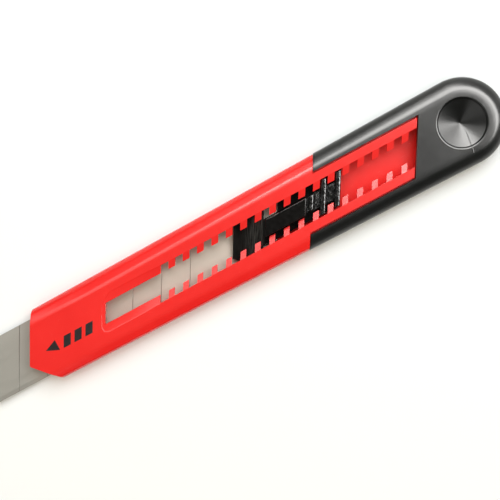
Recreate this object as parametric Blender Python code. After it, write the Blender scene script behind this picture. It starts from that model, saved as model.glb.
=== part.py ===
"""Snap-off craft knife: an 18 mm cutter with a plastic sleeve, a forked end cap and a ratchet slider.

Frame: +X runs along the knife from the blade's tip to the end cap, +Y points from the cutting edge to
the blade's spine, and +Z points up from the table the knife lies on. The origin is under the middle of
the knife's box, on the table. Inside the file a station U is counted along the knife from a point near
the nose, and the assembly's root empty moves all of it to the origin.

Every front, joint line, tooth and wing leans with the blade's score lines: a line of station U lies at
x = U + y / tan(SLANT).
"""
import math

import bmesh
import bpy
from mathutils import Matrix, Vector

MM = 0.001
GAP = 0.3 * MM
SLANT = math.radians(60.0)
LEAN = 1.0 / math.tan(SLANT)

# Blade: a standard 18 mm snap-off strip
BLADE_WIDTH = 18.0 * MM
BLADE_LENGTH = 100.0 * MM
BLADE_THICKNESS = 0.5 * MM
BLADE_FRONT = -10.8 * MM
BLADE_BOTTOM = 2.7 * MM
GROUND_BAND = 1.25 * MM
SCORE_COUNT = 7
SCORE_PITCH = 10.0 * MM
SCORE_WIDTH = 0.30 * MM
SCORE_DEPTH = 0.12 * MM
TANG_HOLE_STATION = 81.5 * MM
TANG_HOLE_RADIUS = 2.5 * MM

# Sleeve
SLEEVE_HEIGHT = 9.0 * MM
NOSE_HEIGHT = 8.2 * MM
NOSE_SLOPE_END = 22.0 * MM
NOSE_STATION = 4.2 * MM
NOSE_CHAMFER_TOP = -3.4 * MM
NOSE_CHAMFER_END = (8.4 * MM, -11.3 * MM)
HALF_WIDTH_STATION = 12.0 * MM
HALF_WIDTH = 11.38 * MM
WIDTH_TAPER = 0.0109
SHOULDER_INSET = 3.4 * MM
SHOULDER_DROP = 1.6 * MM
SIDE_INSET = 1.1 * MM
SIDE_DROP = 3.4 * MM
CAP_JOINT = 100.4 * MM
TONGUE_END = 134.75 * MM
SPIGOT_END = 141.0 * MM

# Channels inside the sleeve
CHANNEL_FLOOR = 2.4 * MM
CHANNEL_ROOF = 3.5 * MM
CHANNEL_HALF_WIDTH = BLADE_WIDTH / 2 + GAP
CARRIAGE_ROOF = 7.2 * MM
CARRIAGE_HALF_WIDTH = 7.3 * MM
CARRIAGE_FRONT = 19.6 * MM

# Toothed window
WINDOW_FRONT = 30.7 * MM
TIP_HALF_WIDTH = 2.82 * MM
ROOT_HALF_WIDTH = 4.95 * MM
RACK_START = 49.6 * MM
RACK_PITCH = 4.86 * MM
RACK_GAP = 2.58 * MM
RACK_GAPS = 18
RECESS_FRONT = 29.5 * MM
RECESS_HALF_WIDTH = 5.25 * MM
RECESS_SLOPE = 0.29

# Tongue: the sleeve's rear, which the cap's legs grip; its spigot goes on into the cap
RAIL_HALF_WIDTH = 7.7 * MM
FLANK_HALF_WIDTH = 10.3 * MM
FLANK_TOP = 7.0 * MM
FLANK_BOTTOM = 1.3 * MM
FLANK_TOP_CHAMFER = 0.8 * MM
FLANK_BOTTOM_CHAMFER = 1.4 * MM

# End cap
CAP_HEIGHT = 9.4 * MM
CAP_CENTRE = 150.2 * MM
CAP_RADIUS = 13.15 * MM
CAP_TAPER = 0.0133
CAP_FRONT_MARGIN = 12.0 * MM
CAP_INNER_STATION = 135.1 * MM
CAP_LEG_INNER = 8.05 * MM
CAP_ARC_STEPS = 28
CAP_PROFILE = (
    (3.1 * MM, 0.0),
    (1.1 * MM, 1.4 * MM),
    (0.25 * MM, 2.6 * MM),
    (0.0, 3.7 * MM),
    (0.0, 5.7 * MM),
    (0.25 * MM, 6.8 * MM),
    (1.1 * MM, 8.0 * MM),
    (3.1 * MM, CAP_HEIGHT),
)
DIMPLE_STATION = 149.8 * MM
DIMPLE_RADIUS = 7.45 * MM
DIMPLE_DEPTH = 4.5 * MM
DIMPLE_STEPS = 40

# Slider: carrier, ratchet leaf and thumb pad
CARRIER_FRONT = 74.0 * MM
CARRIER_HALF_WIDTH = 6.9 * MM
CARRIER_BOTTOM = 3.5 * MM
PLATE_TOP = 5.4 * MM
RAMP_START = 78.75 * MM
RAMP_END = 84.4 * MM
RAMP_TOP = 6.9 * MM
RAMP_STEPS = 6
TAIL_HALF_WIDTH = 2.3 * MM
TAIL_BOTTOM = 3.6 * MM
TAIL_TOP = 4.5 * MM
FLANGE_FRONT = 89.0 * MM
FLANGE_HALF_WIDTH = 4.7 * MM
BOSS_END = 88.4 * MM
BOSS_TOP = 6.0 * MM
STAKE_RADIUS = 0.8 * MM
STAKE_TOP = 6.95 * MM
BLADE_PIN_RADIUS = 2.2 * MM
CORNER_CUT_START = -3.67 * MM
CORNER_CUT_SLOPE = 0.85
LOCK_PIVOT_STATION = 86.6 * MM
LOCK_PIVOT_HEIGHT = 6.5 * MM
LEAF_FRONT = 85.0 * MM
LEAF_BOTTOM = 6.3 * MM
LEAF_TOP = 6.7 * MM
LEAF_HALF_WIDTH = 2.0 * MM
STAKE_HOLE_RADIUS = 1.1 * MM
PEG_HOLE_RADIUS = 1.2 * MM
WING_GAPS = (11, 12)
WING_WIDTH = 1.98 * MM
WING_HALF_LENGTH = 4.6 * MM
WING_TOP = 8.2 * MM
WING_CHAMFER = 0.25 * MM
RIB_STATION = 100.4 * MM
RIB_WIDTH = 1.5 * MM
RIB_TOP = 8.0 * MM
LADDER_FIRST = 101.75 * MM
LADDER_PITCH = 0.62 * MM
LADDER_COUNT = 3
LADDER_WIDTH = 0.34 * MM
LADDER_TOP = 7.6 * MM
BRIDGE_TOP = 7.1 * MM
BLOCK_HALF_WIDTH = 2.25 * MM
PAD_FRONT = 85.0 * MM
PAD_REAR = 98.5 * MM
PAD_HALF_WIDTH = 2.25 * MM
PAD_TOP = 10.3 * MM
PAD_BOTTOM = 7.0 * MM
PAD_RELIEF_END = 89.5 * MM
PAD_RELIEF_HEIGHT = 7.6 * MM
PAD_EDGE = 0.35 * MM
PEG_STATION = 94.0 * MM
PEG_RADIUS = 0.9 * MM
PEG_BOTTOM = 6.0 * MM

ROUND_STEPS = 24
BEYOND = 15.0 * MM

# The root empty's shift puts the middle of the box, from blade tip to cap end, at x = 0
TIP_STATION = BLADE_FRONT - BLADE_WIDTH / 2 * LEAN
END_STATION = CAP_CENTRE + CAP_RADIUS
MIDDLE_STATION = (TIP_STATION + END_STATION) / 2


def clear_scene():
    for obj in list(bpy.data.objects):
        bpy.data.objects.remove(obj, do_unlink=True)


def make_material(name, colour, roughness, metallic=0.0):
    material = bpy.data.materials.new(name)
    material.use_nodes = True
    shader = material.node_tree.nodes["Principled BSDF"]
    shader.inputs["Base Color"].default_value = (*colour, 1.0)
    shader.inputs["Roughness"].default_value = roughness
    shader.inputs["Metallic"].default_value = metallic
    return material


def add_empty(name, place, parent=None):
    empty = bpy.data.objects.new(name, None)
    bpy.context.collection.objects.link(empty)
    empty.parent = parent
    empty.location = place
    return empty


def add_object(name, bm, frame):
    """Turn a bmesh drawn in stations into an object whose origin is its frame's origin."""
    bmesh.ops.recalc_face_normals(bm, faces=bm.faces)
    bm.transform(Matrix.Translation(-Vector(frame["station"])))
    mesh = bpy.data.meshes.new(name)
    bm.to_mesh(mesh)
    bm.free()
    obj = bpy.data.objects.new(name, mesh)
    bpy.context.collection.objects.link(obj)
    obj.parent = frame["empty"]
    return obj


def add_part(name, bm, frame, material):
    obj = add_object(name, bm, frame)
    obj.data.materials.append(material)
    return obj


def combine(target, operation, name, bm, frame):
    """Join, cut or trim the target with a helper solid that is never built itself."""
    helper = add_object(name, bm, frame)
    helper.hide_render = True
    helper.display_type = "WIRE"
    boolean = target.modifiers.new(name, "BOOLEAN")
    boolean.operation = operation
    boolean.solver = "EXACT"
    boolean.object = helper


def loft(rings):
    """Closed solid through rings of points that all have the same number of corners."""
    bm = bmesh.new()
    rows = [[bm.verts.new(point) for point in ring] for ring in rings]
    for low, high in zip(rows, rows[1:]):
        count = len(low)
        for i in range(count):
            bm.faces.new((low[i], low[(i + 1) % count], high[(i + 1) % count], high[i]))
    bm.faces.new(list(reversed(rows[0])))
    bm.faces.new(rows[-1])
    return bm


def plan_prism(outline, low, high):
    """Solid over an outline of (x, y) points, from height low to height high."""
    return loft([[(x, y, z) for x, y in outline] for z in (low, high)])


def leaning_bar(section, front, rear):
    """Bar along the knife with a (y, z) section, whose ends lie on the leaning lines front and rear."""
    return loft([[(station + y * LEAN, y, z) for y, z in section] for station in (front, rear)])


def cross_bar(profile, half_width):
    """Bar across the knife with a (station, z) profile, which leans with the score lines."""
    return loft([[(station + y * LEAN, y, z) for station, z in profile] for y in (-half_width, half_width)])


def upright_pin(station, radius, low, high, top_radius=None):
    top = radius if top_radius is None else top_radius
    rings = []
    for ring_radius, z in ((radius, low), (top, high)):
        angles = [2 * math.pi * i / ROUND_STEPS for i in range(ROUND_STEPS)]
        rings.append([(station + ring_radius * math.cos(a), ring_radius * math.sin(a), z) for a in angles])
    return loft(rings)


def box_section(half_width, low, high):
    return [(-half_width, low), (half_width, low), (half_width, high), (-half_width, high)]


def box_profile(front, rear, low, high):
    return [(front, low), (rear, low), (rear, high), (front, high)]


def mirrored(right_side):
    """Close a (y, z) section from the points of its right half, listed upward."""
    return right_side + [(-y, z) for y, z in reversed(right_side)]


# ---------------------------------------------------------------- blade

def blade_section():
    half = BLADE_WIDTH / 2
    top = BLADE_BOTTOM + BLADE_THICKNESS
    middle = BLADE_BOTTOM + BLADE_THICKNESS / 2
    return [
        (half, BLADE_BOTTOM),
        (half, top),
        (-half + GROUND_BAND, top),
        (-half, middle),
        (-half + GROUND_BAND, BLADE_BOTTOM),
    ]


def score_grooves():
    """V-shaped scores across the blade's upper face, one every pitch."""
    top = BLADE_BOTTOM + BLADE_THICKNESS
    grooves = bmesh.new()
    for i in range(1, SCORE_COUNT + 1):
        station = BLADE_FRONT + i * SCORE_PITCH
        profile = [
            (station, top - SCORE_DEPTH),
            (station + SCORE_WIDTH, top + SCORE_DEPTH),
            (station - SCORE_WIDTH, top + SCORE_DEPTH),
        ]
        single = cross_bar(profile, BLADE_WIDTH)
        mesh = bpy.data.meshes.new("groove")
        single.to_mesh(mesh)
        single.free()
        grooves.from_mesh(mesh)
        bpy.data.meshes.remove(mesh)
    return grooves


def build_blade(frame, steel):
    body = leaning_bar(blade_section(), BLADE_FRONT, BLADE_FRONT + BLADE_LENGTH)
    blade = add_part("blade", body, frame, steel)
    hole = upright_pin(TANG_HOLE_STATION, TANG_HOLE_RADIUS, 0.0, SLEEVE_HEIGHT)
    combine(blade, "DIFFERENCE", "tang_hole_cutter", hole, frame)
    combine(blade, "DIFFERENCE", "score_cutter", score_grooves(), frame)


# ---------------------------------------------------------------- sleeve

def sleeve_half_width(station):
    return HALF_WIDTH + WIDTH_TAPER * (station - HALF_WIDTH_STATION)


def sleeve_section(station, height):
    half = sleeve_half_width(station)
    return mirrored([
        (half - SHOULDER_INSET, 0.0),
        (half - SIDE_INSET, SHOULDER_DROP),
        (half, SIDE_DROP),
        (half, height - SIDE_DROP),
        (half - SIDE_INSET, height - SHOULDER_DROP),
        (half - SHOULDER_INSET, height),
    ])


def sleeve_shell():
    """Outer form: the face slopes down a little towards the nose, and the width grows to the rear."""
    drop = SLEEVE_HEIGHT - NOSE_HEIGHT
    front = -NOSE_SLOPE_END
    front_height = SLEEVE_HEIGHT - drop * (NOSE_SLOPE_END - front) / (NOSE_SLOPE_END - NOSE_STATION)
    stations = ((front, front_height), (NOSE_SLOPE_END, SLEEVE_HEIGHT), (SPIGOT_END + BEYOND, SLEEVE_HEIGHT))
    return loft([[(u, y, z) for y, z in sleeve_section(u, height)] for u, height in stations])


def sleeve_outline():
    """Plan view: slanted nose with its lower corner cut off, slanted rear end."""
    wide = CAP_RADIUS + BEYOND
    chamfer_x, chamfer_y = NOSE_CHAMFER_END
    nose_low_x = NOSE_STATION + NOSE_CHAMFER_TOP * LEAN
    chamfer_slope = (chamfer_y - NOSE_CHAMFER_TOP) / (chamfer_x - nose_low_x)
    return [
        (NOSE_STATION + wide * LEAN, wide),
        (nose_low_x, NOSE_CHAMFER_TOP),
        (nose_low_x + (-wide - NOSE_CHAMFER_TOP) / chamfer_slope, -wide),
        (SPIGOT_END - wide * LEAN, -wide),
        (SPIGOT_END + wide * LEAN, wide),
    ]


def flank_clearance(side):
    """What is cut from one flank of the sleeve behind the cap's joint line."""
    outside = CAP_RADIUS + BEYOND
    section = [
        (RAIL_HALF_WIDTH, SLEEVE_HEIGHT + BEYOND),
        (RAIL_HALF_WIDTH, FLANK_TOP),
        (FLANK_HALF_WIDTH - FLANK_TOP_CHAMFER, FLANK_TOP),
        (FLANK_HALF_WIDTH, FLANK_TOP - FLANK_TOP_CHAMFER),
        (FLANK_HALF_WIDTH, FLANK_BOTTOM + FLANK_BOTTOM_CHAMFER),
        (FLANK_HALF_WIDTH - FLANK_BOTTOM_CHAMFER, FLANK_BOTTOM),
        (RAIL_HALF_WIDTH, FLANK_BOTTOM),
        (RAIL_HALF_WIDTH, -BEYOND),
        (outside, -BEYOND),
        (outside, SLEEVE_HEIGHT + BEYOND),
    ]
    return leaning_bar([(side * y, z) for y, z in section], CAP_JOINT, SPIGOT_END + BEYOND)


def recess_section():
    """Shallow trough whose sides slope down from the window's surround to the tooth tips."""
    inner = TIP_HALF_WIDTH - GAP
    outer = RECESS_HALF_WIDTH + BEYOND
    low = SLEEVE_HEIGHT - (RECESS_HALF_WIDTH - inner) * RECESS_SLOPE
    high = SLEEVE_HEIGHT + BEYOND * RECESS_SLOPE
    return [(-inner, low), (inner, low), (outer, high), (-outer, high)]


def rack_gap_cutters(frame, sleeve):
    for i in range(RACK_GAPS):
        front = RACK_START + i * RACK_PITCH
        section = box_section(ROOT_HALF_WIDTH, CARRIAGE_ROOF - GAP, SLEEVE_HEIGHT + GAP)
        bar = leaning_bar(section, front, front + RACK_GAP)
        combine(sleeve, "DIFFERENCE", f"rack_gap_cutter_{i + 1}", bar, frame)


def build_sleeve(frame, red):
    sleeve = add_part("sleeve", sleeve_shell(), frame, red)
    outline = plan_prism(sleeve_outline(), -BEYOND, SLEEVE_HEIGHT + BEYOND)
    combine(sleeve, "INTERSECT", "sleeve_outline_guide", outline, frame)
    rear = SPIGOT_END + BEYOND
    blade_channel = leaning_bar(
        box_section(CHANNEL_HALF_WIDTH, CHANNEL_FLOOR, CHANNEL_ROOF), -2 * BEYOND, rear)
    combine(sleeve, "DIFFERENCE", "blade_channel_cutter", blade_channel, frame)
    carriage_channel = leaning_bar(
        box_section(CARRIAGE_HALF_WIDTH, CHANNEL_ROOF - GAP, CARRIAGE_ROOF), CARRIAGE_FRONT, rear)
    combine(sleeve, "DIFFERENCE", "carriage_channel_cutter", carriage_channel, frame)
    combine(sleeve, "DIFFERENCE", "recess_cutter", leaning_bar(recess_section(), RECESS_FRONT, rear), frame)
    window = leaning_bar(
        box_section(TIP_HALF_WIDTH, CARRIAGE_ROOF - GAP, SLEEVE_HEIGHT + GAP), WINDOW_FRONT, rear)
    combine(sleeve, "DIFFERENCE", "window_cutter", window, frame)
    rack_gap_cutters(frame, sleeve)
    for side, label in ((1, "upper"), (-1, "lower")):
        combine(sleeve, "DIFFERENCE", f"flank_cutter_{label}", flank_clearance(side), frame)
    for label, low, high in (("top", FLANK_TOP, SLEEVE_HEIGHT + BEYOND), ("bottom", -BEYOND, FLANK_BOTTOM)):
        step = leaning_bar(box_section(CAP_RADIUS, low, high), TONGUE_END, rear)
        combine(sleeve, "DIFFERENCE", f"spigot_{label}_cutter", step, frame)


# ---------------------------------------------------------------- end cap

def cap_half_width(station):
    return CAP_RADIUS - CAP_TAPER * (CAP_CENTRE - station)


def cap_ring(inset, height):
    """Plan outline of the cap at one height: two long legs and a round end, moved in by the inset."""
    front = CAP_JOINT - CAP_FRONT_MARGIN
    radius = CAP_RADIUS - inset
    angles = [math.pi / 2 - math.pi * i / CAP_ARC_STEPS for i in range(CAP_ARC_STEPS + 1)]
    arc = [(CAP_CENTRE + radius * math.cos(a), radius * math.sin(a), height) for a in angles]
    start = (front, cap_half_width(front) - inset, height)
    end = (front, inset - cap_half_width(front), height)
    return [end, start] + arc


def leg_pocket_section():
    """Hollow in the cap's legs and body, a gap larger all round than the sleeve's flanks."""
    half = FLANK_HALF_WIDTH + GAP
    low = FLANK_BOTTOM - GAP
    high = FLANK_TOP + GAP
    return mirrored([
        (half - FLANK_BOTTOM_CHAMFER, low),
        (half, low + FLANK_BOTTOM_CHAMFER),
        (half, high - FLANK_TOP_CHAMFER),
        (half - FLANK_TOP_CHAMFER, high),
    ])


def build_end_cap(frame, black):
    body = loft([cap_ring(inset, height) for inset, height in CAP_PROFILE])
    cap = add_part("end_cap", body, frame, black)
    before = CAP_JOINT - 2 * BEYOND
    outside = CAP_RADIUS + BEYOND
    front = leaning_bar(box_section(outside, -BEYOND, CAP_HEIGHT + BEYOND), before, CAP_JOINT + GAP)
    combine(cap, "DIFFERENCE", "cap_front_cutter", front, frame)
    fork_gap = leaning_bar(
        box_section(CAP_LEG_INNER, -BEYOND, CAP_HEIGHT + BEYOND), before, CAP_INNER_STATION)
    combine(cap, "DIFFERENCE", "fork_gap_cutter", fork_gap, frame)
    pocket = leaning_bar(leg_pocket_section(), before, SPIGOT_END + GAP)
    combine(cap, "DIFFERENCE", "leg_pocket_cutter", pocket, frame)
    combine(cap, "DIFFERENCE", "dimple_cutter", dimple_cone(), frame)


def dimple_cone():
    """Cone that opens upward past the cap's face, so that its rim has the dimple's radius there."""
    bm = bmesh.new()
    tip = bm.verts.new((DIMPLE_STATION, 0.0, CAP_HEIGHT - DIMPLE_DEPTH))
    radius = DIMPLE_RADIUS * (DIMPLE_DEPTH + GAP) / DIMPLE_DEPTH
    angles = [2 * math.pi * i / DIMPLE_STEPS for i in range(DIMPLE_STEPS)]
    height = CAP_HEIGHT + GAP
    circle = [(DIMPLE_STATION + radius * math.cos(a), radius * math.sin(a), height) for a in angles]
    rim = [bm.verts.new(point) for point in circle]
    for i in range(DIMPLE_STEPS):
        bm.faces.new((tip, rim[i], rim[(i + 1) % DIMPLE_STEPS]))
    bm.faces.new(rim)
    return bm


# ---------------------------------------------------------------- slider

def ramp_points():
    """Concave rise from the carrier's plate to its rear edge, as a quarter wave."""
    points = []
    for i in range(RAMP_STEPS + 1):
        share = i / RAMP_STEPS
        station = RAMP_START + (RAMP_END - RAMP_START) * share
        rise = (RAMP_TOP - PLATE_TOP) * (1 - math.cos(share * math.pi / 2))
        points.append((station, PLATE_TOP + rise))
    return points


def corner_wedge():
    """Wedge that cuts the lower front corner off the carrier's plate."""
    start = (CARRIER_FRONT + CORNER_CUT_START * LEAN, CORNER_CUT_START)
    low = CORNER_CUT_START - CARRIER_HALF_WIDTH
    end = (start[0] - CORNER_CUT_SLOPE * (low - CORNER_CUT_START), low)
    outline = [start, (start[0] - BEYOND, CORNER_CUT_START), (start[0] - BEYOND, low), end]
    return plan_prism(outline, 0.0, SLEEVE_HEIGHT)


def build_blade_carrier(frame, black):
    profile = [(RAMP_END, CARRIER_BOTTOM)] + list(reversed(ramp_points()))
    profile += [(CARRIER_FRONT, PLATE_TOP), (CARRIER_FRONT, CARRIER_BOTTOM)]
    carrier = add_part("blade_carrier", cross_bar(profile, CARRIER_HALF_WIDTH), frame, black)
    combine(carrier, "DIFFERENCE", "carrier_corner_cutter", corner_wedge(), frame)
    tail_rear = wing_station(WING_GAPS[-1]) + WING_WIDTH / 2
    tail = cross_bar(box_profile(RAMP_START, tail_rear, TAIL_BOTTOM, TAIL_TOP), TAIL_HALF_WIDTH)
    combine(carrier, "UNION", "carrier_tail", tail, frame)
    flange = cross_bar(box_profile(FLANGE_FRONT, tail_rear, TAIL_BOTTOM, TAIL_TOP), FLANGE_HALF_WIDTH)
    combine(carrier, "UNION", "carrier_flange", flange, frame)
    boss = cross_bar(
        box_profile(RAMP_END - PAD_EDGE, BOSS_END, TAIL_BOTTOM + GAP, BOSS_TOP), LEAF_HALF_WIDTH)
    combine(carrier, "UNION", "carrier_boss", boss, frame)
    stake = upright_pin(LOCK_PIVOT_STATION, STAKE_RADIUS, TAIL_TOP, STAKE_TOP)
    combine(carrier, "UNION", "leaf_stake", stake, frame)
    pin = upright_pin(
        TANG_HOLE_STATION, BLADE_PIN_RADIUS - GAP, CHANNEL_FLOOR + GAP, PLATE_TOP - GAP, BLADE_PIN_RADIUS)
    combine(carrier, "UNION", "blade_pin", pin, frame)


def wing_station(gap):
    return RACK_START + gap * RACK_PITCH + RACK_GAP / 2


def chamfered_profile(front, rear, low, high, chamfer):
    return [
        (front, low),
        (rear, low),
        (rear, high - chamfer),
        (rear - chamfer, high),
        (front + chamfer, high),
        (front, high - chamfer),
    ]


def build_ratchet_spring(frame, black):
    rear = wing_station(WING_GAPS[-1])
    leaf = cross_bar(box_profile(LEAF_FRONT, rear, LEAF_BOTTOM, LEAF_TOP), LEAF_HALF_WIDTH)
    spring = add_part("ratchet_spring", leaf, frame, black)
    middle = (LEAF_BOTTOM + LEAF_TOP) / 2
    bridge = cross_bar(box_profile(RIB_STATION, rear, middle, BRIDGE_TOP), BLOCK_HALF_WIDTH)
    combine(spring, "UNION", "bridge", bridge, frame)
    for number, gap in enumerate(WING_GAPS, 1):
        station = wing_station(gap)
        half = WING_WIDTH / 2
        profile = chamfered_profile(station - half, station + half, middle, WING_TOP, WING_CHAMFER)
        combine(spring, "UNION", f"wing_{number}", cross_bar(profile, WING_HALF_LENGTH), frame)
    half = RIB_WIDTH / 2
    rib = chamfered_profile(RIB_STATION - half, RIB_STATION + half, middle, RIB_TOP, WING_CHAMFER)
    combine(spring, "UNION", "rib", cross_bar(rib, BLOCK_HALF_WIDTH - PAD_EDGE), frame)
    for i in range(LADDER_COUNT):
        station = LADDER_FIRST + i * LADDER_PITCH
        rung = cross_bar(box_profile(station, station + LADDER_WIDTH, middle, LADDER_TOP), LEAF_HALF_WIDTH)
        combine(spring, "UNION", f"ladder_rung_{i + 1}", rung, frame)
    stake_hole = upright_pin(LOCK_PIVOT_STATION, STAKE_HOLE_RADIUS, 0.0, SLEEVE_HEIGHT)
    combine(spring, "DIFFERENCE", "stake_hole_cutter", stake_hole, frame)
    peg_hole = upright_pin(PEG_STATION, PEG_HOLE_RADIUS, 0.0, SLEEVE_HEIGHT)
    combine(spring, "DIFFERENCE", "peg_hole_cutter", peg_hole, frame)


def build_thumb_pad(frame, black):
    profile = [
        (PAD_FRONT, PAD_RELIEF_HEIGHT),
        (PAD_RELIEF_END, PAD_RELIEF_HEIGHT),
        (PAD_RELIEF_END, PAD_BOTTOM),
        (PAD_REAR, PAD_BOTTOM),
        (PAD_REAR, PAD_TOP - PAD_EDGE),
        (PAD_REAR - PAD_EDGE, PAD_TOP),
        (PAD_FRONT + PAD_EDGE, PAD_TOP),
        (PAD_FRONT, PAD_TOP - PAD_EDGE),
    ]
    pad = add_part("thumb_pad", cross_bar(profile, PAD_HALF_WIDTH), frame, black)
    edge_section = [
        (PAD_HALF_WIDTH - PAD_EDGE, PAD_TOP + GAP),
        (PAD_HALF_WIDTH + GAP, PAD_TOP + GAP),
        (PAD_HALF_WIDTH + GAP, PAD_TOP - PAD_EDGE),
        (PAD_HALF_WIDTH, PAD_TOP - PAD_EDGE),
        (PAD_HALF_WIDTH - PAD_EDGE, PAD_TOP),
    ]
    for side, label in ((1, "upper"), (-1, "lower")):
        section = [(side * y, z) for y, z in edge_section]
        edge = leaning_bar(section, PAD_FRONT - BEYOND, PAD_REAR + BEYOND)
        combine(pad, "DIFFERENCE", f"pad_edge_cutter_{label}", edge, frame)
    peg = upright_pin(PEG_STATION, PEG_RADIUS, PEG_BOTTOM, PAD_BOTTOM + GAP)
    combine(pad, "UNION", "pad_peg", peg, frame)


# ---------------------------------------------------------------- assembly

def main():
    clear_scene()
    root = add_empty("knife", (-MIDDLE_STATION, 0.0, 0.0))
    cap_axis = add_empty("cap_axis", (CAP_CENTRE, 0.0, 0.0), root)
    slide_place = (TANG_HOLE_STATION, 0.0, BLADE_BOTTOM)
    slide_axis = add_empty("slide_axis", slide_place, root)
    pivot_place = (LOCK_PIVOT_STATION, 0.0, LOCK_PIVOT_HEIGHT)
    pivot_offset = Vector(pivot_place) - Vector(slide_place)
    lock_axis = add_empty("lock_axis", pivot_offset, slide_axis)

    body = {"empty": root, "station": (0.0, 0.0, 0.0)}
    cap = {"empty": cap_axis, "station": (CAP_CENTRE, 0.0, 0.0)}
    carriage = {"empty": slide_axis, "station": slide_place}
    lock = {"empty": lock_axis, "station": pivot_place}

    build_sleeve(body, make_material("red_plastic", (1.0, 0.035, 0.025), 0.42))
    build_end_cap(cap, make_material("cap_plastic", (0.035, 0.037, 0.036), 0.45))
    build_blade(carriage, make_material("blade_steel", (0.45, 0.43, 0.40), 0.38, 1.0))
    build_blade_carrier(carriage, make_material("carrier_plastic", (0.012, 0.013, 0.013), 0.35))
    build_ratchet_spring(lock, make_material("spring_black", (0.012, 0.012, 0.013), 0.28))
    build_thumb_pad(lock, make_material("pad_plastic", (0.012, 0.013, 0.013), 0.33))


main()
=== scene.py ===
import math

import bmesh
import bpy
from mathutils import Matrix, Vector


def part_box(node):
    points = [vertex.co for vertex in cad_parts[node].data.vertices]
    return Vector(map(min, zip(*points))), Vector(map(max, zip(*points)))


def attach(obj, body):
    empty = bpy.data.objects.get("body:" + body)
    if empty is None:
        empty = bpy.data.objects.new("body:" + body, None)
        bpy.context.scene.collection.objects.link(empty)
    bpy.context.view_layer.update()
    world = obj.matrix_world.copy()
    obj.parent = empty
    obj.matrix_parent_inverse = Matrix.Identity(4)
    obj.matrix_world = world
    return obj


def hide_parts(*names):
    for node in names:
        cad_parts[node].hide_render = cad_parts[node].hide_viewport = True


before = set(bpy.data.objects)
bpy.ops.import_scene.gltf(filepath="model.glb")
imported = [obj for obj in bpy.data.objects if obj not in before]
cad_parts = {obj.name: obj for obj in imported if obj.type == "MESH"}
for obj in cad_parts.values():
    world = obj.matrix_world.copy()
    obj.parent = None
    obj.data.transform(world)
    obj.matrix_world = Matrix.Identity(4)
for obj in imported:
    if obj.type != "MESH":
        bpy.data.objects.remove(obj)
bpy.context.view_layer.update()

# Shapes are drawn in millimetres. A station U is counted along the knife, as in the CAD: the leaning
# line of station U lies at x = U + y * LEAN, and SHIFT carries stations into the row frame.
LEAN = 1.0 / math.tan(math.radians(60.0))
BLADE_FRONT = -10.8
BLADE_HALF = 9.0
MM = 0.001
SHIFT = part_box("blade")[0].x / MM - (BLADE_FRONT - BLADE_HALF * LEAN)

# Cutting tools reach FAR past the ends of a piece, and out to WIDE on either side of its middle.
FAR = 15.0
WIDE = 30.0

# Corners closer than MERGE become one. Faces that turn by less than FLAT become one face.
# Edges that turn by more than CREASE are shown sharp.
MERGE = 0.002
FLAT = math.radians(0.15)
CREASE = math.radians(32.0)


def row(x):
    """Place along the knife, in metres in the row frame, of a drawing place in millimetres."""
    return (x + SHIFT) * MM


# ---------------------------------------------------------------- mesh kit

def loft(rings):
    """Closed solid through rings that all have the same number of corners."""
    bm = bmesh.new()
    rows = [[bm.verts.new(point) for point in ring] for ring in rings]
    for low, high in zip(rows, rows[1:]):
        count = len(low)
        for i in range(count):
            bm.faces.new((low[i], low[(i + 1) % count], high[(i + 1) % count], high[i]))
    bm.faces.new(list(reversed(rows[0])))
    bm.faces.new(rows[-1])
    return bm


def plan_prism(outline, low, high):
    """Upright prism over an outline of (x, y) points."""
    return loft([[(x, y, z) for x, y in outline] for z in (low, high)])


def leaning(outline):
    """(station, y) points as (x, y) points."""
    return [(station + y * LEAN, y) for station, y in outline]


def leaning_bar(section, front, rear):
    """Bar along the knife between two stations, through a section of (y, z) points."""
    return loft([[(station + y * LEAN, y, z) for y, z in section] for station in (front, rear)])


def cross_bar(profile, left, right=None):
    """Bar across the knife through a profile of (station, z) points, from y = right to y = left.

    Without right, it reaches as far to either side."""
    start = -left if right is None else right
    return loft([[(station + y * LEAN, y, z) for station, z in profile] for y in (start, left)])


def pin(x, y, rings, steps=24):
    """Round pin through (radius, height) rings."""
    angles = [2 * math.pi * i / steps for i in range(steps)]
    return loft([[(x + r * math.cos(a), y + r * math.sin(a), z) for a in angles] for r, z in rings])


def box_section(half_width, low, high):
    """Corners (y, z) of a box."""
    return [(-half_width, low), (half_width, low), (half_width, high), (-half_width, high)]


def box_profile(front, rear, low, high):
    """Corners (station, z) of a box."""
    return [(front, low), (rear, low), (rear, high), (front, high)]


def rounded(points, reach, steps=4, closed=True):
    """The polygon with its corners rounded; reach is how far from each corner the curve starts."""
    made = []
    count = len(points)
    for i, point in enumerate(points):
        size = reach[i] if isinstance(reach, (list, tuple)) else reach
        here = Vector(point)
        if size <= 0 or (not closed and i in (0, count - 1)):
            made.append(tuple(here))
            continue
        before = Vector(points[i - 1]) - here
        after = Vector(points[(i + 1) % count]) - here
        start = here + before.normalized() * min(size, before.length * 0.49)
        end = here + after.normalized() * min(size, after.length * 0.49)
        for k in range(steps + 1):
            t = k / steps
            made.append(tuple(start * (1 - t) ** 2 + here * (2 * t * (1 - t)) + end * t ** 2))
    return made


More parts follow.
